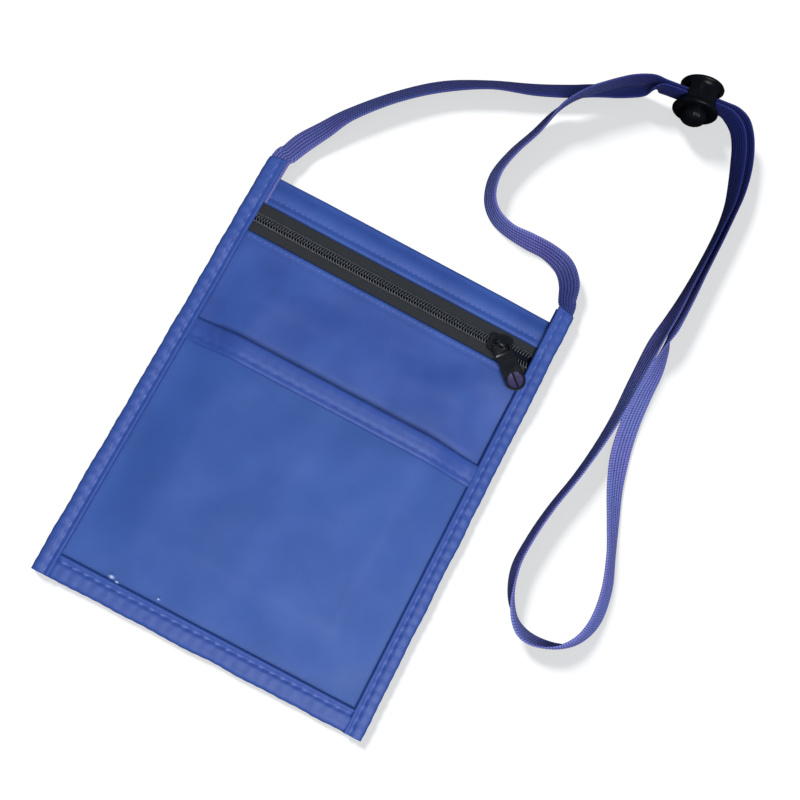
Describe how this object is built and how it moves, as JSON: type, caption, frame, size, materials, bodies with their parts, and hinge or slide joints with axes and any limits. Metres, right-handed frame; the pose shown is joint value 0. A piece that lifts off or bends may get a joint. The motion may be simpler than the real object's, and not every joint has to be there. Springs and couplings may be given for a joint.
{
  "type": "neck wallet",
  "caption": "Flat fabric neck wallet with a zip pocket, a clear-fronted slip pocket and a flat neck strap that runs through a sprung cord lock.",
  "frame": {"origin": "under the middle of the pouch, on the surface that its back lies on", "axes": "+X to the pouch's right as seen from its front, +Y up the pouch from its bottom binding to its zip, +Z out of its front"},
  "size_m": [0.2104, 0.3134, 0.02],
  "materials": {
    "blue_nylon": "coated nylon cloth, semi-gloss",
    "blue_binding_tape": "folded and stitched coated tape",
    "clear_vinyl": "clear, glossy",
    "black_zip_weave": "woven, matt",
    "black_zip_coil": "moulded monofilament, satin",
    "black_enamelled_metal": "gloss enamel",
    "violet_strap_weave": "ribbed knit, matt",
    "black_moulded_plastic": "moulded, gloss",
    "spring_steel": "bright wire"
  },
  "bodies": {
    "pouch": {"back_panel": "blue_nylon", "front_panel": "blue_nylon", "window_panel": "clear_vinyl", "window_trim": "blue_binding_tape", "bottom_binding": "blue_binding_tape", "left_binding": "blue_binding_tape", "right_binding": "blue_binding_tape", "upper_zip_tape": "black_zip_weave", "lower_zip_tape": "black_zip_weave", "upper_zip_teeth": "black_zip_coil", "lower_zip_teeth": "black_zip_coil", "neck_strap": "violet_strap_weave"},
    "slider": {"slider_body": "black_enamelled_metal", "slider_bridge": "black_enamelled_metal"},
    "pull": {"pull_tab": "black_enamelled_metal"},
    "lock": {"lock_barrel": "black_moulded_plastic", "lock_spring": "spring_steel"},
    "plunger": {"lock_plunger": "black_moulded_plastic"}
  },
  "joints": [
    {"name": "slider_slide", "type": "slide", "parent": "pouch", "child": "slider", "axis": [1, 0, 0], "range_m": [-0.109, 0.0095], "deforming": ["upper_zip_teeth", "lower_zip_teeth"]},
    {"name": "pull_hinge", "type": "hinge", "parent": "slider", "child": "pull", "pos_m": [0.0497, 0.07025, 0.0068], "axis": [-0.6561, -0.7547, 0], "range_deg": [0, 165]},
    {"name": "lock_slide", "type": "slide", "parent": "pouch", "child": "lock", "axis": [0.9903, 0.1392, 0], "range_m": [-0.007, 0]},
    {"name": "plunger_press", "type": "slide", "parent": "lock", "child": "plunger", "axis": [0.1392, -0.9903, 0], "range_m": [-0.0022, 0], "stiffness_N_per_m": 600, "springref_m": 0.002, "deforming": ["lock_spring"]}
  ]
}
